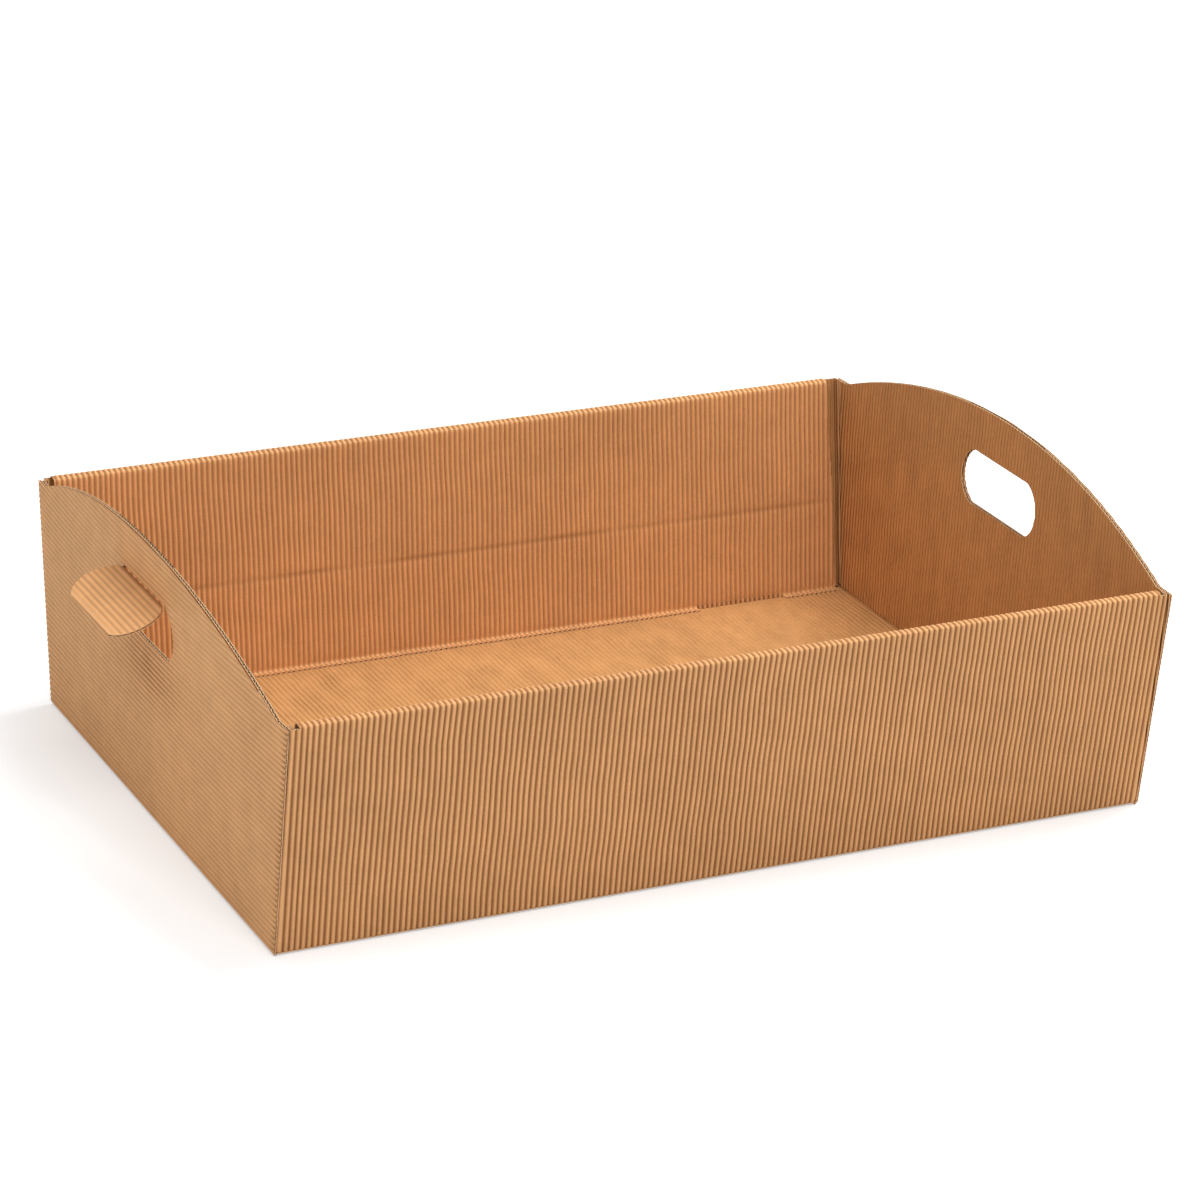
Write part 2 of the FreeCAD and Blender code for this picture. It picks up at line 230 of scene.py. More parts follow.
def fold_line(corners, step):
    """Rounded path through (y, z, radius) corners: rows of (distance, point, facing)."""
    rows = []
    creases = []
    start = Vector(corners[0][:2])

    def add(point, direction):
        travelled = rows[-1][0] + (point - rows[-1][1]).length if rows else 0.0
        rows.append((travelled, point, Vector((direction.y, -direction.x))))

    for index in range(1, len(corners)):
        corner = Vector(corners[index][:2])
        into = (corner - start).normalized()
        if index == len(corners) - 1:
            for place in span_places((corner - start).length, step):
                add(start + into * place, into)
            break
        out = (Vector(corners[index + 1][:2]) - corner).normalized()
        turn = into.angle_signed(out)
        reach = corners[index][2] * abs(math.tan(turn / 2))
        end = corner - into * reach
        leave = corner + out * reach
        for place in span_places((end - start).length, step):
            add(start + into * place, into)
        bend_start = rows[-1][0]
        bends = max(2, round(abs(math.degrees(turn)) / DEGREES_A_ROW))
        for k in range(1, bends):
            part = k / bends
            point = end.lerp(corner, part).lerp(corner.lerp(leave, part), part)
            add(point, Matrix.Rotation(-turn * part, 2) @ into)
        bend_end = rows[-1][0] + (leave - rows[-1][1]).length
        creases.append(((bend_start + bend_end) / 2, abs(turn)))
        start = leave
    return rows, creases


half = WIDTH / 2
head = half + WALL_LEAN
foot = half - PANEL_FOOT
WALL_CORNERS = [
    (half - 4 * MM, 0.0, 0.0),
    (half, 0.0, 2.0 * MM),
    (head, WALL_TOP, 1.8 * MM),
    (head - ROLL_DEPTH, WALL_TOP, 1.8 * MM),
    (foot + 6.2 * MM, 57 * MM, 400 * MM),
    (foot + 0.2 * MM, 2 * BOARD, 0.8 * MM),
    (foot - STRIP_WIDTH, 2 * BOARD, 0.0),
]
wall_rows, wall_creases = fold_line(WALL_CORNERS, 9 * MM)
base_fold, top_fold = wall_creases[0][0], wall_creases[1][0]
inner_fold, middle_fold, floor_fold = (crease[0] for crease in wall_creases[2:])
turn_row = min(range(len(wall_rows)), key=lambda j: abs(wall_rows[j][0] - top_fold))
print("rows up the wall:", len(wall_rows), "creases:", len(wall_creases))

# %% [markdown]
# A crease crushes the flutes, so the ribs sink where the board turns and stand up again
# a few millimetres away. A soft crease, such as the scored line half way up the inner
# panel, crushes them less, and on the rolled top they stay a little low. At each end of
# the wall the outer panel also wraps round the corner, into the end wall, and there the
# last rib runs out into a smooth rounded band.

# %% Crushed creases and the wrapped corner
WRAP_RADIUS = 2.0 * MM
WRAP_DRAW_IN = 1.1 * MM
WRAP_START = LENGTH / 2 - BOARD - WRAP_RADIUS
wrap_columns = [WRAP_START + WRAP_RADIUS * a for a in (0.0, 0.4, 0.8, 1.2, 1.57)]
wrap_columns += [wrap_columns[-1] + 3 * MM]


HARD_TURN = 0.5
HARD_CREASE = (0.75, 1.4 * MM)
SOFT_CREASE = (0.4, 2.0 * MM)
LEFT_ON_ROLL = 0.72
LEAST_LEFT = 0.15


def bump(distance, reach):
    """1 at no distance, falling away smoothly to 0 past the reach."""
    return math.exp(-((distance / reach) ** 2))


def crushed(distance, creases):
    """How much of the rib is left near a crease, from 1 down to almost nothing."""
    left = LEFT_ON_ROLL if top_fold < distance < inner_fold else 1.0
    for place, turn in creases:
        depth, reach = HARD_CREASE if turn > HARD_TURN else SOFT_CREASE
        left -= depth * bump(distance - place, reach)
    return max(left, LEAST_LEFT)


def wrapped(across, depth, lift):
    """Bends the sheet's end round the corner: gives x and the depth behind the face."""
    begin = WRAP_START - WRAP_DRAW_IN * lift
    side = math.copysign(1.0, across)
    past = abs(across) - begin
    if past <= 0:
        return across, depth
    angle = min(past / WRAP_RADIUS, math.pi / 2)
    beyond = max(0.0, past - WRAP_RADIUS * math.pi / 2)
    arm = WRAP_RADIUS + depth
    x = side * (begin + arm * math.sin(angle))
    return x, -WRAP_RADIUS + arm * math.cos(angle) - beyond


wall_stations = clip_stations(long_ribs, -WRAP_START, WRAP_START)
for extra in wrap_columns[1:]:
    wall_stations = [(-extra, 1.0)] + wall_stations + [(extra, 1.0)]
print("stations with the wrapped ends:", len(wall_stations))

# %% [markdown]
# ## The paper
# A shader is a chain of small steps. Each of these helpers adds one step to a node tree
# and gives back its output, so a look can be read as a short list.

# %% Helpers that add shader nodes
NOISE_LOW, NOISE_HIGH = 0.3, 0.7


def feed(tree, socket, value):
    """Sets a socket to a plain value, or links it to another node's output."""
    if isinstance(value, (int, float, tuple)):
        socket.default_value = value
    else:
        tree.links.new(value, socket)


def add_noise(tree, place, scale, detail, stretch=(1, 1, 1)):
    mapping = tree.nodes.new("ShaderNodeMapping")
    mapping.inputs["Scale"].default_value = stretch
    node = tree.nodes.new("ShaderNodeTexNoise")
    node.inputs["Scale"].default_value = scale
    node.inputs["Detail"].default_value = detail
    tree.links.new(place, mapping.inputs["Vector"])
    tree.links.new(mapping.outputs["Vector"], node.inputs["Vector"])
    return node.outputs["Fac"]


def add_range(tree, value, low, high, new_low, new_high):
    node = tree.nodes.new("ShaderNodeMapRange")
    node.inputs["From Min"].default_value = low
    node.inputs["From Max"].default_value = high
    node.inputs["To Min"].default_value = new_low
    node.inputs["To Max"].default_value = new_high
    tree.links.new(value, node.inputs["Value"])
    return node.outputs["Result"]


def spread(tree, value, new_low, new_high):
    """Gives a noise a new range, counted from where nearly all of it lies."""
    return add_range(tree, value, NOISE_LOW, NOISE_HIGH, new_low, new_high)


def add_math(tree, operation, a, b):
    node = tree.nodes.new("ShaderNodeMath")
    node.operation = operation
    feed(tree, node.inputs[0], a)
    feed(tree, node.inputs[1], b)
    return node.outputs[0]


def add_mix(tree, blend, amount, a, b):
    node = tree.nodes.new("ShaderNodeMix")
    node.data_type = "RGBA"
    node.blend_type = blend
    for name, value in (("Factor", amount), ("A", a), ("B", b)):
        socket = [s for s in node.inputs if s.name == name and s.enabled][0]
        feed(tree, socket, value)
    return [s for s in node.outputs if s.enabled][0]


print("a noise is counted from", NOISE_LOW, "to", NOISE_HIGH)

# %% [markdown]
# Brown kraft paper looks even from far off, but close up it has soft clouds of tone,
# short fibres that lie one way, and a few dark and pale flecks. Freshly cut edges are
# paler. The grooves between ribs get painted shade.

# %% The colour of kraft paper
DARK_FLECK = (0.13, 0.065, 0.028, 1)
PALE_FLECK = (0.75, 0.52, 0.31, 1)
CUT_EDGE = (0.80, 0.53, 0.30, 1)


def paper_colour(tree, given, fibres):
    place = given["Place"]
    clouds = spread(tree, add_noise(tree, place, 11, 3), 0.94, 1.06)
    mottle = spread(tree, add_noise(tree, place, 70, 3), -0.05, 0.05)
    cross = spread(tree, add_noise(tree, place, 1, 2, (1300, 420, 1)), -0.03, 0.03)
    tone = add_math(tree, "ADD", clouds, mottle)
    tone = add_math(tree, "ADD", tone, spread(tree, fibres, -0.06, 0.06))
    tone = add_math(tree, "ADD", tone, cross)
    # Painted shade: the grooves are mixed towards the groove colour, by the rib note.
    ridge = add_range(tree, given["Rib"], 0.05, 0.95, 0.0, 1.0)
    colour = add_mix(tree, "MIX", ridge, given["Groove"], given["Paper"])
    colour = add_mix(tree, "MULTIPLY", 1.0, colour, tone)
    dark = add_range(tree, add_noise(tree, place, 620, 1), 0.74, 0.80, 0.0, 0.45)
    colour = add_mix(tree, "MIX", dark, colour, DARK_FLECK)
    pale = add_range(tree, add_noise(tree, place, 480, 1, (1, 1.7, 1)), 0.74, 0.82, 0.0, 0.4)
    colour = add_mix(tree, "MIX", pale, colour, PALE_FLECK)
    edge = add_math(tree, "MULTIPLY", given["Cut"], 0.8)
    return add_mix(tree, "MIX", edge, colour, CUT_EDGE)


print("fleck colours:", DARK_FLECK[:3], PALE_FLECK[:3])

# %% [markdown]
# On the smooth side the flutes show through as a faint washboard: a wave with the ribs'
# own pitch, made to sway and to come and go, because a perfect wave looks printed.

# %% The relief of kraft paper
def paper_relief(tree, given, fibres):
    place = given["Place"]
    split = tree.nodes.new("ShaderNodeSeparateXYZ")
    tree.links.new(place, split.inputs["Vector"])
    sway = spread(tree, add_noise(tree, place, 38, 2), -0.6 * MM, 0.6 * MM)
    swayed = add_math(tree, "ADD", split.outputs["X"], sway)
    turns = add_math(tree, "MULTIPLY", swayed, 2 * math.pi / PITCH)
    wave = add_math(tree, "SINE", turns, 0)
    uneven = spread(tree, add_noise(tree, place, 90, 2, (1, 0.35, 1)), 0.65, 1.25)
    wave = add_math(tree, "MULTIPLY", wave, uneven)
    wave = add_math(tree, "MULTIPLY", wave, given["Wash"])
    return add_math(tree, "ADD", wave, add_math(tree, "MULTIPLY", fibres, 0.25))


print("washboard waves along the box:", round(LENGTH / PITCH))

# %% [markdown]
# The tray and its flaps share this look, so it is one node group with named inputs, and
# each finish only sets its own values.

# %% The kraft paper node group
LOOK_SOCKETS = [
    ("Place", "INPUT", "NodeSocketVector"),
    ("Paper", "INPUT", "NodeSocketColor"),
    ("Groove", "INPUT", "NodeSocketColor"),
    ("Rib", "INPUT", "NodeSocketFloat"),
    ("Cut", "INPUT", "NodeSocketFloat"),
    ("Wash", "INPUT", "NodeSocketFloat"),
    ("Color", "OUTPUT", "NodeSocketColor"),
    ("Roughness", "OUTPUT", "NodeSocketFloat"),
    ("Height", "OUTPUT", "NodeSocketFloat"),
]


def kraft_group():
    tree = bpy.data.node_groups.new("Kraft paper look", "ShaderNodeTree")
    for name, way, kind in LOOK_SOCKETS:
        tree.interface.new_socket(name, in_out=way, socket_type=kind)
    given = tree.nodes.new("NodeGroupInput").outputs
    result = tree.nodes.new("NodeGroupOutput").inputs
    fibres = add_noise(tree, given["Place"], 1, 3, (260, 1500, 1))
    tree.links.new(paper_colour(tree, given, fibres), result["Color"])
    tree.links.new(spread(tree, fibres, 0.74, 0.9), result["Roughness"])
    tree.links.new(paper_relief(tree, given, fibres), result["Height"])
    return tree


paper_look = kraft_group()
print("sockets of the paper look:", [s.name for s in paper_look.interface.items_tree])

# %% [markdown]
# The ribbed side and the smooth side are the same paper. On the ribbed side the note
# about rib height paints shade into the grooves: the groove colour is that painted shade.
# The smooth side has no grooves but has the washboard. The ribs shut in between two
# layers get hardly any light, so their paper is painted dark with shade, which keeps
# their open ends dark.

# %% The three finishes
FINE_RELIEF = 0.12 * MM
WASH_RELIEF = 0.5 * MM
CRISP = (0.76, 0.40, 0.172, 1)
# The groove colour is painted shade for the bottom of the grooves.
GROOVE_SHADE = (0.29, 0.115, 0.034, 1)
PLAIN = (0.61, 0.305, 0.112, 1)
# Painted shade: the paper of the ribs shut between two layers, darkened where little light
# reaches.
HIDDEN_SHADE = (0.11, 0.045, 0.016, 1)


def noted(tree, name):
    """Reads a note that was left on the mesh."""
    node = tree.nodes.new("ShaderNodeAttribute")
    node.attribute_name = name
    return node.outputs["Fac"]


def kraft_material(name, paper, groove, wash, relief):
    material = bpy.data.materials.new(name)
    material.use_nodes = True
    tree = material.node_tree
    links = tree.links
    shader = tree.nodes["Principled BSDF"].inputs
    shader["Specular IOR Level"].default_value = 0.3
    place = tree.nodes.new("ShaderNodeUVMap")
    place.uv_map = "UVMap"
    look = tree.nodes.new("ShaderNodeGroup")
    look.node_tree = paper_look
    look.inputs["Paper"].default_value = paper
    look.inputs["Groove"].default_value = groove
    look.inputs["Wash"].default_value = wash
    links.new(place.outputs["UV"], look.inputs["Place"])
    links.new(noted(tree, "rib"), look.inputs["Rib"])
    links.new(noted(tree, "cut"), look.inputs["Cut"])
    surface = tree.nodes.new("ShaderNodeBump")
    surface.inputs["Strength"].default_value = 1.0
    surface.inputs["Distance"].default_value = relief
    links.new(look.outputs["Height"], surface.inputs["Height"])
    links.new(look.outputs["Color"], shader["Base Color"])
    links.new(look.outputs["Roughness"], shader["Roughness"])
    links.new(surface.outputs["Normal"], shader["Normal"])
    return material


RIBBED = kraft_material("Ribbed kraft", CRISP, GROOVE_SHADE, 0.0, FINE_RELIEF)
SMOOTH = kraft_material("Smooth kraft", PLAIN, PLAIN, 1.0, WASH_RELIEF)
INNER_SHADED = kraft_material("Inner kraft shade", HIDDEN_SHADE, HIDDEN_SHADE, 0.0, FINE_RELIEF)
print("finishes:", RIBBED.name, SMOOTH.name, INNER_SHADED.name)

# %% [markdown]
# ## The long walls
# One grid makes a whole wall: its columns follow the ribs and its rows follow the
# folded section. The far wall is the same with y turned round, but one end of its inner
# panel is cut a little aslant. Then the rolled part is cut back near the corners, and the
# floor strip is cut away where a locking tab drops into its slot. On the inner panel the
# painted shade in the grooves is weaker, so the ribs look shallow, and painted shade
# darkens them along the scored line.

# %% Build the ribbed sheet of a long wall
def cut_away(bm, unwanted):
    """Deletes the faces whose place on the flat sheet is unwanted."""
    flat = bm.verts.layers.float_vector["flat"]
    gone = []
    for face in bm.faces:
        places = [vert[flat] for vert in face.verts]
        middle = sum(places, Vector()) / len(places)
        if unwanted(middle.x, middle.y):
            gone.append(face)
    bmesh.ops.delete(bm, geom=gone, context="FACES")


roll_start = next(row[0] for row in wall_rows if row[1].y > PANEL_TOP - 0.2 * MM)
tab_row = [row for row in wall_rows if row[0] < floor_fold - 0.3 * MM][-1]
STIFF_BY_CREASE = 20 * MM
STIFF_BY_CORNER = 30 * MM
SWAY = 0.62 * MM
DENT = 0.3 * MM
CREASE_SHADE_WIDTH = 1.3 * MM


def panel_half(side, across, along):
    """Where the inner panel ends: one end of the far one is cut a little aslant."""
    if side * across <= 0 or side < 0:
        return ROLL_HALF
    up = min(1.0, max(0.0, (floor_fold - along) / (floor_fold - inner_fold)))
    return ROLL_HALF - PANEL_SLANT * up


def not_on_the_wall(side, across, along, clear=0.4 * MM):
    """The wall ends early along the roll, at its corners under the base and at the tabs."""
    past_roll = abs(across) > panel_half(side, across, along) and along > roll_start
    under_base = abs(across) > WRAP_START - 1.2 * MM and along < base_fold + clear
    at_a_tab = TAB_START < abs(across) < TAB_STOP and along > tab_row[0]
    return past_roll or under_base or at_a_tab


def wall_point(side, across, row, depth):
    """A point of the wall, a depth behind its outer face, with a slight waviness."""
    distance, point, facing = row
    folds = [place for place, turn in wall_creases if turn > HARD_TURN]
    from_crease = min(abs(distance - place) for place in folds)
    from_corner = max(0.0, ROLL_HALF - abs(across))
    free = min(1.0, from_crease / STIFF_BY_CREASE) * min(1.0, from_corner / STIFF_BY_CORNER)
    sway = noise.noise(Vector((across * 17, distance * 30, side * 5.1)))
    sway += 0.45 * noise.noise(Vector((across * 52, distance * 64, side * 8.3)))
    across += SWAY * free * sway
    lift = max(0.0, point.y / WALL_TOP) if distance < top_fold else 0.0
    x, behind = across, depth
    if distance <= roll_start + 1 * MM:
        x, behind = wrapped(across, depth, lift)
    dent = DENT * free * (1 + noise.noise(Vector((x * 9, distance * 14, side * 3.7))))
    y, z = point + facing * (behind - dent)
    return Vector((x, side * y, z))


def ribbed_wall(name, side, rows):
    bm = new_sheet()

    def place(i, j):
        across, height = wall_stations[i]
        distance = rows[j][0]
        standing = height * crushed(distance, wall_creases)
        point = wall_point(side, across, rows[j], -FLUTE * (1 - standing))
        # The note carries painted shade: weaker groove shade on the inner panel, and painted
        # shade in the scored crease.
        if distance > inner_fold:
            faint = 0.5 + 0.5 * noise.noise(Vector((across * 30, side, 0.5)))
            crease_shade = faint * bump(distance - middle_fold, CREASE_SHADE_WIDTH)
            height = (1 - (1 - height) * 0.64) * (1 - 0.6 * crease_shade)
        return point, (across, distance), height

    lay_grid(bm, len(wall_stations) - 1, len(rows) - 1, place, flip=side > 0)
    cut_away(bm, lambda across, along: not_on_the_wall(side, across, along))
    finish_sheet(bm, name, RIBBED, PAPER)


for wall_name, side in WALLS:
    ribbed_wall(f"{wall_name}_wall_outside", side, wall_rows[:turn_row + 1])
    ribbed_wall(f"{wall_name}_wall_inside", side, wall_rows[turn_row:])

# %% [markdown]
# The liner is the smooth paper under the ribs. It follows the same folds, one board's
# thickness further in, and needs few columns, because nothing on it repeats.

# %% Build the liner of a long wall
LINER_CLEAR = 2.4 * MM
liner_columns = [0.0, 60 * MM, TAB_START, TAB_STOP, 225 * MM]
liner_columns += [ROLL_HALF - k * MM for k in (5, 4, 3, 2, 1, 0)] + wrap_columns
liner_columns = [-c for c in reversed(liner_columns[1:])] + liner_columns


def smooth_wall(name, side):
    bm = new_sheet()

    def place(i, j):
        across = liner_columns[i]
        point = wall_point(side, across, wall_rows[j], -FLUTE)
        return point, (across, wall_rows[j][0]), 1.0

    lay_grid(bm, len(liner_columns) - 1, len(wall_rows) - 1, place, flip=side > 0)
    cut_away(bm, lambda across, along: not_on_the_wall(side, across, along, LINER_CLEAR))
    finish_sheet(bm, name, SMOOTH, LINER)


for wall_name, side in WALLS:
    smooth_wall(f"{wall_name}_wall_liner", side)

# %% [markdown]
# Where the strip is cut away, the inner panel runs straight on and ends in a tab that
# sits in a slot of the base.

# %% The locking tabs
TAB_LEAN = 0.11


def locking_tab(name, side, end):
    low, high = sorted((end * TAB_START, end * TAB_STOP))
    stations = clip_stations(long_ribs, low + SLOT_GAP, high - SLOT_GAP)
    top = tab_row[1]
    heights = [top.y, top.y / 2, 0.3 * MM]
    bm = new_sheet()

    def tab_point(across, level, depth):
        y = top.x - (top.y - level) * TAB_LEAN - depth
        return Vector((across, side * y, level))

    def place(i, j):
        across, height = stations[i]
        point = tab_point(across, heights[j], FLUTE * (height - 1))
        return point, (across, tab_row[0] + j * 2 * MM), height

    def place_liner(i, j):
        across = (low, high)[i]
        return tab_point(across, heights[j], -FLUTE), (across, tab_row[0] + j * 2 * MM), 1.0

    lay_grid(bm, len(stations) - 1, len(heights) - 1, place, flip=side > 0)
    lay_grid(bm, 1, len(heights) - 1, place_liner, flip=side > 0)
    finish_sheet(bm, name, RIBBED, PAPER)


for wall_name, side in WALLS:
    for end_name, end in ENDS:
        locking_tab(f"tab_{wall_name}_{end_name}", side, end)

# %% [markdown]
# ## The base
# The smooth side of the base is the floor that we look at. Its ribs are below, between
# the floor and the table. The floor has four slots for the tabs, so it is a grid whose
# lines run along the slot edges, with the slot faces taken out.

# %% The floor and the ribs below it
def both_ways(places):
    """The places and their mirror images, in order."""
    return sorted({round(side * place, 6) for side in (-1, 1) for place in places})


slot_low, slot_high = foot - SLOT_GAP, foot + BOARD + SLOT_GAP
slot_start, slot_stop = TAB_START - SLOT_GAP, TAB_STOP + SLOT_GAP
x_lines = both_ways(even_steps(0, slot_start, 30 * MM)
                    + even_steps(slot_start, slot_stop, 30 * MM)
                    + even_steps(slot_stop, LENGTH / 2 - BOARD, 20 * MM))
y_lines = both_ways(even_steps(0, slot_low, 30 * MM) + [slot_high, half - 0.5 * MM])
under_rows = [-half + 4 * MM, 0.0, half - 4 * MM]


def floor_place(i, j):
    x, y = x_lines[i], y_lines[j]
    return Vector((x, y, BOARD)), (x, y), 1.0


def under_place(i, j):
    x, height = long_ribs[i]
    return Vector((x, under_rows[j], FLUTE * (1 - height))), (x, under_rows[j]), height


bm = new_sheet()
lay_grid(bm, len(x_lines) - 1, len(y_lines) - 1, floor_place)
cut_away(bm, lambda x, y: TAB_START < abs(x) < TAB_STOP and slot_low < abs(y) < slot_high)
finish_sheet(bm, "floor_liner", SMOOTH, LINER)

bm = new_sheet()
lay_grid(bm, len(long_ribs) - 1, len(under_rows) - 1, under_place, flip=True)
finish_sheet(bm, "base_ribs", RIBBED, PAPER)

# %% [markdown]
# ## The end walls
# Each end wall is two layers glued together. The outer one is hinged on the base, so
# its ribs lie flat, and the inner one comes round from the long walls, so its ribs
# stand upright and hide between the two liners. Both are cut to one outline: leaning
# sides, small shoulders, and a bow like a bridge. They also belly out a little.

# %% The outline of an end wall
rise = CROWN_TOP - CORNER_TOP
ARCH_RADIUS = (ARCH_HALF ** 2 + rise ** 2) / (2 * rise)
ARCH_CENTRE = CROWN_TOP - ARCH_RADIUS
HOLE_LOW = HOLE_TOP - HOLE_HEIGHT
HOLE_MIDDLE = HOLE_TOP - HOLE_HEIGHT / 2
HOLE_END_RADIUS = ((HOLE_HEIGHT / 2) ** 2 + HOLE_BULGE ** 2) / (2 * HOLE_BULGE)
HOLE_END_CENTRE = HOLE_HALF - HOLE_END_RADIUS
BOW_HEIGHT = 150 * MM
LOW_CLEAR = 0.4 * MM


def side_half(z):
    return half - SIDE_INSET + WALL_LEAN * z / WALL_TOP


def outline_half(z):
    """Half the width of the end wall at a height."""
    if z <= CORNER_TOP:
        return side_half(z)
    return math.sqrt(max(0.0, ARCH_RADIUS ** 2 - (z - ARCH_CENTRE) ** 2))


def outline_top(y):
    if abs(y) >= ARCH_HALF:
        return CORNER_TOP
    return ARCH_CENTRE + math.sqrt(ARCH_RADIUS ** 2 - y * y)


def outline_low(y):
    """The lowest point of the wall: the leaning side, beyond the base's edge."""
    past = abs(y) - side_half(0.0)
    return LOW_CLEAR if past <= 0 else past * WALL_TOP / WALL_LEAN


def hole_half(z, gap=0.0):
    """Half the length of the hand hole at a height."""
    radius = HOLE_END_RADIUS - gap
    up = min(abs(z - HOLE_MIDDLE), HOLE_HEIGHT / 2, radius)
    return HOLE_END_CENTRE + math.sqrt(radius ** 2 - up ** 2)


def hole_edge(y, way):
    """The hole's top edge (way 1) or bottom edge (way -1) at a place along it."""
    out = abs(y) - HOLE_END_CENTRE
    if out <= 0:
        return HOLE_MIDDLE + way * HOLE_HEIGHT / 2
    up = math.sqrt(max(0.0, HOLE_END_RADIUS ** 2 - out * out))
    return HOLE_MIDDLE + way * min(up, HOLE_HEIGHT / 2)


def bow_out(y, z):
    """How far the wall bellies outward."""
    share = 1 - (y / side_half(z)) ** 2
    return BOW * max(0.0, share) * z / BOW_HEIGHT


def end_point(end, depth, y, z):
    """A point of an end wall, a depth behind its outer face."""
    return Vector((end * (LENGTH / 2 - depth + bow_out(y, z)), y, z))


print("arch radius:", round(ARCH_RADIUS, 3), "hole end radius:", round(HOLE_END_RADIUS, 4))

# %% [markdown]
# The lying ribs of the outer layer are made row by row, so each row simply stops at
# the outline. Beside the hand hole a row has two parts. The cut ends of the flutes
# then show along the bow by themselves, as they do on real board. Gluing has pressed
# these ribs nearly flat, except along one side of each wall and in a patch below the
# hole, where they stand.

# %% The lying ribs of the outer layer
FOLD_RADIUS = 2.0 * MM
fold_reach = FOLD_RADIUS * math.pi / 2
ACROSS = [0.0, 0.12, 0.24, 0.36, 0.48, 0.6, 0.71, 0.81, 0.89, 0.94, 0.97, 0.985, 1.0]
RIBS_UP_THE_END = 52
LEFT_BY_GLUING = 0.32
STANDING_SIDE = 3.5 * MM
PATCH_HEIGHT = 88 * MM
PATCH_ACROSS, PATCH_UP = 30 * MM, 17 * MM
HAIR = 0.01 * MM


def fold_up(distance, depth):
    """Bends the sheet up from under the base: gives the depth behind the wall and z."""
    angle = min(distance / FOLD_RADIUS, math.pi / 2)
    arm = FOLD_RADIUS - depth
    behind = FOLD_RADIUS - arm * math.sin(angle)
    return behind, FOLD_RADIUS - arm * math.cos(angle) + max(0.0, distance - fold_reach)


def at_height(z):
    return z - FOLD_RADIUS + fold_reach


def pressed(end, y, z):
    """The share of a rib's height that the gluing has left at a place."""
    at_side = bump(side_half(z) - y * end, STANDING_SIDE)
    in_patch = bump(y, PATCH_ACROSS) * bump(z - PATCH_HEIGHT, PATCH_UP)
    uneven = 0.12 * noise.noise(Vector((y * 18, z * 18, end * 4.3)))
    return min(1.0, LEFT_BY_GLUING + uneven + 0.6 * at_side + 0.6 * in_patch)


def lying_ribs(name, end):
    bm = new_sheet()
    ribs = rib_stations(-0.5 * PITCH, RIBS_UP_THE_END)
    levels = (HOLE_LOW, CORNER_TOP - HAIR, HOLE_TOP, CROWN_TOP - 2 * HAIR)
    cuts = [0.0] + [at_height(z) for z in levels]
    for part in range(4):
        stations = clip_stations(ribs, cuts[part] + 0.001 * MM, cuts[part + 1])
        beside_hole = part in (1, 2)
        for way in ((-1, 1) if beside_hole else (0,)):
            shares = ACROSS if way else [-share for share in reversed(ACROSS[1:])] + ACROSS

            def place(i, j):
                distance, height = stations[i]
                z = fold_up(distance, 0.0)[1]
                level = max(z, CORNER_TOP + HAIR) if part >= 2 else min(z, CORNER_TOP)
                limit = outline_half(level)
                if way:
                    near_edge = hole_half(min(max(z, HOLE_LOW), HOLE_TOP))
                    share = shares[j if way > 0 else -1 - j]
                    y = way * (near_edge + (limit - near_edge) * share)
                else:
                    y = limit * shares[j]
                standing = height * crushed(distance, [(fold_reach / 2, math.pi / 2)])
                left = pressed(end, y, z)
                behind, z = fold_up(distance, END_FLUTE * (1 - standing) * left)
                # The note carries painted groove shade, weaker where gluing has pressed the
                # ribs flat.
                noted_height = 1 - (1 - height) * (0.15 + 0.85 * left)
                return end_point(end, behind, y, z), (distance, y), noted_height

            lay_grid(bm, len(stations) - 1, len(shares) - 1, place, flip=end > 0)
    finish_sheet(bm, name, RIBBED, PAPER, pale=0.3)


for end_name, end in ENDS:
    lying_ribs(f"{end_name}_end_ribs", end)

# %% [markdown]
# The two liners and the upright ribs between them are made column by column instead,
# because their edges follow the bow. The upright ribs are only seen where the board is
# cut, so they are made as a band along the bow and a ring round the hand hole.

# %% The liners of the end walls
def columns_patch(bm, end, stations, low, high, depth_of, rows, flip):
    """One patch made of upright columns between two edges."""

    def place(i, j):
        y, height = stations[i]
        z = low(y) + (high(y) - low(y)) * j / rows
        return end_point(end, depth_of(height), y, z), (y, z), 0.0

    lay_grid(bm, len(stations) - 1, rows, place, flip)


def hole_top(y):
    return hole_edge(y, 1)


def hole_foot(y):
    return hole_edge(y, -1)


def on_the_floor(y):
    """The lowest point of the inner liner: just above the floor, or on the leaning side."""
    past = abs(y) - (half - BOARD - 0.1 * MM)
    return BOARD + LOW_CLEAR + max(0.0, past) * WALL_TOP / WALL_LEAN


def end_liner(name, end, depth, facing_in, low):
    bm = new_sheet()
    widest = side_half(CORNER_TOP) - 0.9 * MM - (BOARD if facing_in else 0.0)
    past_hole = even_steps(HOLE_HALF, side_half(0.0), 5 * MM) + [ARCH_HALF, widest]
    over_hole = even_steps(-HOLE_HALF, HOLE_HALF, 1.6 * MM)
    flip = (end > 0) if facing_in else (end < 0)

    def patch(columns, bottom, top):
        stations = [(y, 1.0) for y in sorted(columns)]
        columns_patch(bm, end, stations, bottom, top, lambda height: depth, 4, flip)

    for way in (-1, 1):
        patch([way * y for y in past_hole], low, outline_top)
    patch(over_hole, low, hole_foot)
    patch(over_hole, hole_top, outline_top)
    finish_sheet(bm, name, SMOOTH, LINER)


print("the liners stop at the floor, the bow and the hand hole")

# %% [markdown]
# The upright ribs stay a hair's breadth away from both liners and from the cut edge, so
# that no two papers share a face.

# %% The upright ribs, and all the inner layers
RIBS_ACROSS_THE_END = 118
BAND = 8 * MM
BAND_HALF = 183 * MM
RING = 7 * MM
CUT_BACK = 0.1 * MM
NO_TOUCH = 0.05 * MM


def hidden_depth(height):
    return END_LINER + NO_TOUCH + (FLUTE - 2 * NO_TOUCH) * (1 - height)


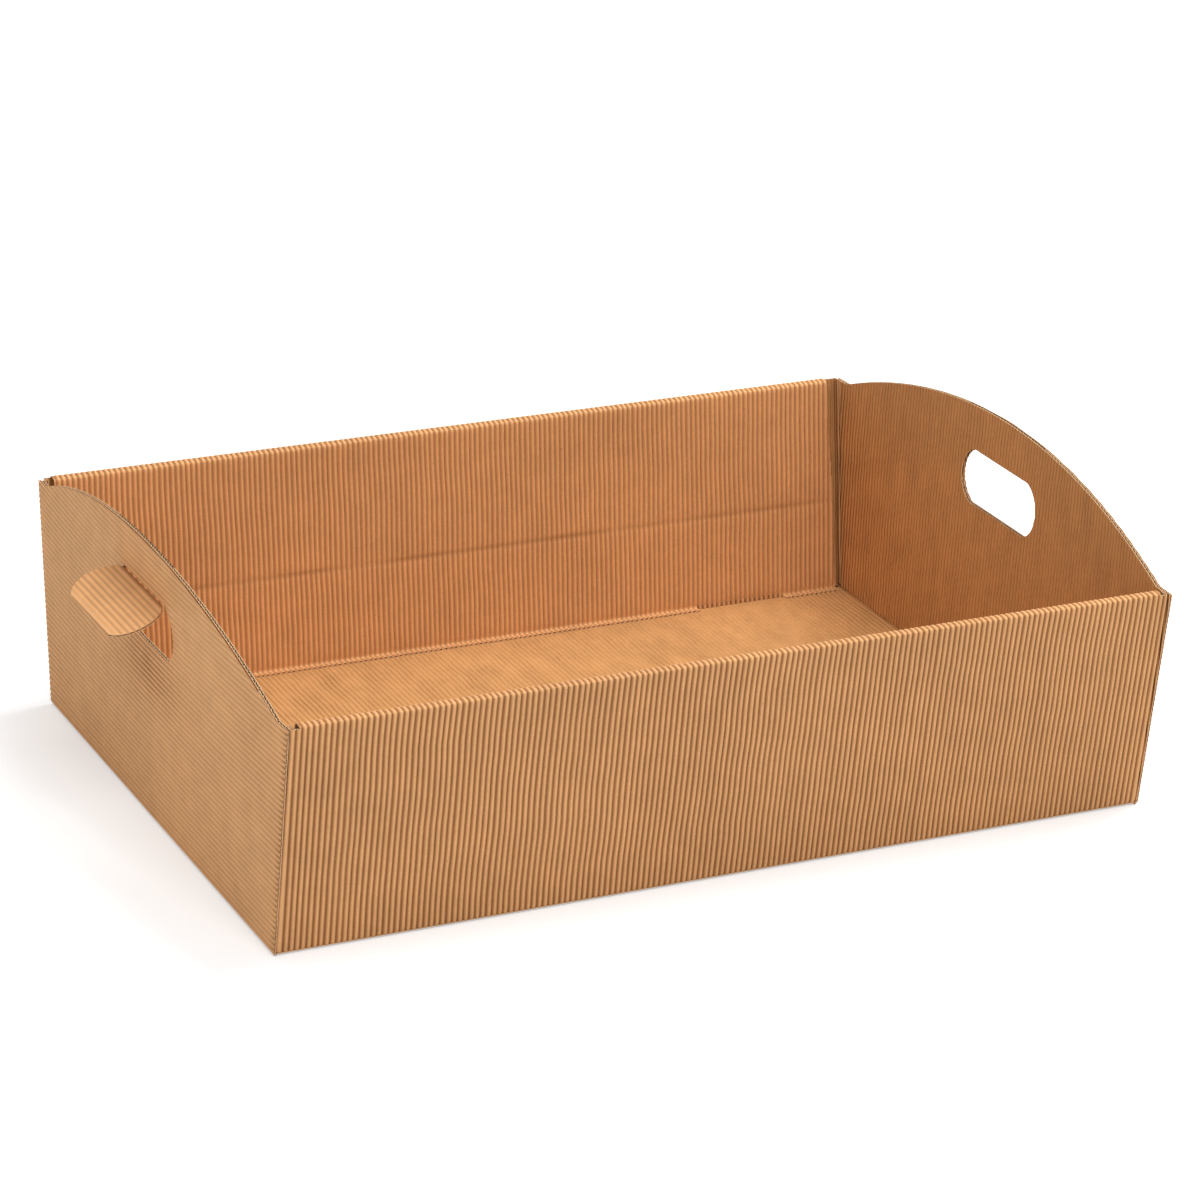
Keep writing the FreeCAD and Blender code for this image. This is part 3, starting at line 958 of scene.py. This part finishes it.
def upright_ribs(name, end):
    bm = new_sheet()
    ribs = rib_stations(-RIBS_ACROSS_THE_END / 2 * PITCH, RIBS_ACROSS_THE_END)

    def patch(start, stop, edge, from_edge, to_edge):
        stations = clip_stations(ribs, start, stop)
        columns_patch(bm, end, stations, lambda y: edge(y) + from_edge,
                      lambda y: edge(y) + to_edge, hidden_depth, 2, end < 0)

    patch(-BAND_HALF, BAND_HALF, outline_top, -BAND, -CUT_BACK)
    patch(-HOLE_HALF, HOLE_HALF, hole_foot, -RING, -CUT_BACK)
    patch(-HOLE_HALF, HOLE_HALF, hole_top, CUT_BACK, RING)
    for low, high in ((-HOLE_HALF - RING, -HOLE_HALF), (HOLE_HALF, HOLE_HALF + RING)):
        patch(low, high, lambda y: HOLE_MIDDLE, -2 * RING, 2 * RING)
    # The shut-in ribs take the paper painted dark with shade; their cut edges stay pale.
    finish_sheet(bm, name, INNER_SHADED, PAPER, pale=0.9)


for end_name, end in ENDS:
    end_liner(f"{end_name}_outer_liner", end, END_FLUTE, False, outline_low)
    end_liner(f"{end_name}_inner_liner", end, END_LINER + BOARD, True, on_the_floor)
    upright_ribs(f"{end_name}_inner_ribs", end)

# %% [markdown]
# ## The hand flaps
# The hand hole isn't cut out. It is cut on three sides and pushed through, so the
# piece stays on as a flap that folds out along the top of the hole. It is laid out from
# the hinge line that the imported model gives, at the angle it has in the photograph, and
# its outline is a little smaller than the hole. Card that was bent once keeps a slight
# curl. Pushing it out has pressed its ribs, except at the tip.

# %% Make both flaps
FLAP_OPEN = math.radians(73)
FLAP_CURL = math.radians(9)
FLAP_GAP = 0.4 * MM
HINGE_DROP = 0.3 * MM
FLAP_LENGTH = HOLE_HEIGHT - FLAP_GAP - HINGE_DROP
FLAP_RIBS = 11
FLAP_COLUMNS = 14
FLAP_PRESSED = 0.24
TIP_REACH = 2.5 * MM
# How far the painted shadow along the hinge reaches.
HINGE_SHADOW_REACH = 1.1 * MM
hinges = {joint["child"]: Vector(joint["pos_m"]) for joint in frame["joints"]}


def flap_point(end, distance, depth, y):
    """A point of the flap, a distance out from its hinge and a depth under its top."""
    hinge = hinges["left_flap" if end < 0 else "right_flap"]
    bent = FLAP_OPEN - FLAP_CURL * (distance / FLAP_LENGTH) * 0.5
    along = Vector((end * math.sin(bent), 0, -math.cos(bent)))
    tip = FLAP_OPEN - FLAP_CURL * (distance / FLAP_LENGTH)
    up = Vector((end * math.cos(tip), 0, math.sin(tip)))
    spot = hinge + along * distance - up * (depth + HINGE_DROP)
    return Vector((spot.x, y, spot.z))


def hand_flap(name, end):
    node = f"{name}_hand_flap"
    body = f"{name}_flap"
    ribs = clip_stations(rib_stations(-0.6 * PITCH, FLAP_RIBS), 0.0, FLAP_LENGTH)

    def across(distance, j):
        low_edge = HOLE_TOP - HINGE_DROP - max(0.0, distance)
        return (hole_half(low_edge, FLAP_GAP) - NO_TOUCH) * (2 * j / FLAP_COLUMNS - 1)

    def ribbed(i, j):
        distance, height = ribs[i]
        y = across(distance, j)
        flat = 1 - bump(FLAP_LENGTH - distance, TIP_REACH)
        sunk = (1 - height * crushed(distance, [(0.0, math.pi / 2)])) * FLAP_PRESSED * flat
        point = flap_point(end, distance, (FLUTE - 2 * NO_TOUCH) * sunk + NO_TOUCH, y)
        # Painted shade: weaker in the grooves, none at the tip, and a painted shadow along
        # the hinge.
        noted_height = (1 - (1 - height) * 0.5 * flat) * (1 - bump(distance, HINGE_SHADOW_REACH))
        return point, (distance, y), noted_height

    bm = new_sheet()
    lay_grid(bm, len(ribs) - 1, FLAP_COLUMNS, ribbed, flip=end < 0)
    finish_sheet(bm, f"{name}_flap_ribs", RIBBED, PAPER, body, node)

    places = even_steps(0.0, FLAP_LENGTH, 1.2 * MM)

    def smooth(i, j):
        y = across(places[i], j)
        return flap_point(end, places[i], FLUTE, y), (places[i], y), 1.0

    bm = new_sheet()
    lay_grid(bm, len(places) - 1, FLAP_COLUMNS, smooth, flip=end < 0)
    finish_sheet(bm, f"{name}_flap_liner", SMOOTH, LINER, body, node)


for end_name, end in ENDS:
    hand_flap(end_name, end)

# %% [markdown]
# ## The studio
# The box stands on a pale floor in soft light. A large lamp hangs above it, to the right
# and a little behind, a second one stands high in front, and a weak one stays low on the
# left. The world adds an even glow. The background is white because the camera sees it
# so, not because more light falls on the box.

# %% The floor
FLOOR_GLOW = 0.4
FLOOR_DROP = 0.2 * MM


def seen_or_mirrored(nodes, links):
    """1 where the camera looks, straight or through a gloss or a glass, else 0."""
    rays = nodes.new("ShaderNodeLightPath")
    total = rays.outputs["Is Camera Ray"]
    for kind in ("Is Glossy Ray", "Is Transmission Ray"):
        either = nodes.new("ShaderNodeMath")
        either.operation = "MAXIMUM"
        links.new(total, either.inputs[0])
        links.new(rays.outputs[kind], either.inputs[1])
        total = either.outputs[0]
    return total


def white_floor():
    material = bpy.data.materials.new("White floor")
    material.use_nodes = True
    nodes, links = material.node_tree.nodes, material.node_tree.links
    shader = nodes["Principled BSDF"]
    shader.inputs["Base Color"].default_value = (0.77, 0.8, 0.82, 1)
    shader.inputs["Roughness"].default_value = 0.9
    shader.inputs["Specular IOR Level"].default_value = 0.1
    glow = nodes.new("ShaderNodeEmission")
    lift = nodes.new("ShaderNodeMath")
    lift.operation = "MULTIPLY"
    lift.inputs[1].default_value = FLOOR_GLOW
    links.new(seen_or_mirrored(nodes, links), lift.inputs[0])
    links.new(lift.outputs[0], glow.inputs["Strength"])
    both = nodes.new("ShaderNodeAddShader")
    links.new(shader.outputs[0], both.inputs[0])
    links.new(glow.outputs[0], both.inputs[1])
    links.new(both.outputs[0], nodes["Material Output"].inputs["Surface"])
    return material


bm = bmesh.new()
bmesh.ops.create_grid(bm, x_segments=1, y_segments=1, size=6.0)
bmesh.ops.translate(bm, verts=bm.verts, vec=(0, 0, -FLOOR_DROP))
floor_mesh = bpy.data.meshes.new("studio_floor")
bm.to_mesh(floor_mesh)
bm.free()
studio_floor = bpy.data.objects.new("studio_floor", floor_mesh)
floor_mesh.materials.append(white_floor())
bpy.context.collection.objects.link(studio_floor)
print("the floor glows by", FLOOR_GLOW, "where it is seen")

# %% [markdown]
# The world follows the same rule as the floor: full white where the camera sees it, and
# about half as bright where it lights the box.

# %% The world and the lamps
GLOW_ON_BOX = 0.48
GLOW_SEEN = 1.0
world = bpy.data.worlds.new("Studio")
bpy.context.scene.world = world
world.use_nodes = True
sky = world.node_tree.nodes["Background"]
sky.inputs["Color"].default_value = (1, 1, 1, 1)
level = world.node_tree.nodes.new("ShaderNodeMapRange")
level.inputs["To Min"].default_value = GLOW_ON_BOX
level.inputs["To Max"].default_value = GLOW_SEEN
sky_links = world.node_tree.links
sky_links.new(seen_or_mirrored(world.node_tree.nodes, sky_links), level.inputs["Value"])
sky_links.new(level.outputs["Result"], sky.inputs["Strength"])


def softbox(name, place, aim, size, power):
    lamp = bpy.data.lights.new(name, "AREA")
    lamp.shape = "SQUARE"
    lamp.size = size
    lamp.energy = power
    holder = bpy.data.objects.new(name, lamp)
    holder.location = place
    holder.rotation_euler = (Vector(aim) - Vector(place)).to_track_quat("-Z", "Y").to_euler()
    bpy.context.collection.objects.link(holder)
    print(name, "power:", power)


softbox("top_lamp", (0.6, 0.15, 1.7), (0, 0, 0), 1.0, 26)
softbox("front_lamp", (-0.3, -1.65, 2.0), (0, 0, 0.05), 1.0, 22)
softbox("side_lamp", (-2.2, -0.9, 0.25), (-0.3, 0, 0.08), 0.5, 4)

# %% [markdown]
# ## The camera
# The photograph was taken from above the front left corner with a long lens. The
# camera's place and turn were worked out from the corners of the box and its ribs.

# %% Camera and view
camera_data = bpy.data.cameras.new("camera")
camera_data.sensor_width = 36
camera_data.lens = 132.93
camera_data.clip_start, camera_data.clip_end = 0.05, 50
camera = bpy.data.objects.new("camera", camera_data)
bpy.context.collection.objects.link(camera)
turn = (Matrix.Rotation(math.radians(-26.04), 4, "Z")
        @ Matrix.Rotation(math.radians(90 - 21.87), 4, "X")
        @ Matrix.Rotation(math.radians(1.99), 4, "Z"))
camera.matrix_world = Matrix.Translation((-0.97266, -2.0024, 0.98425)) @ turn
bpy.context.scene.camera = camera
bpy.context.scene.view_settings.view_transform = "Standard"
print("camera at", tuple(round(v, 3) for v in camera.location))
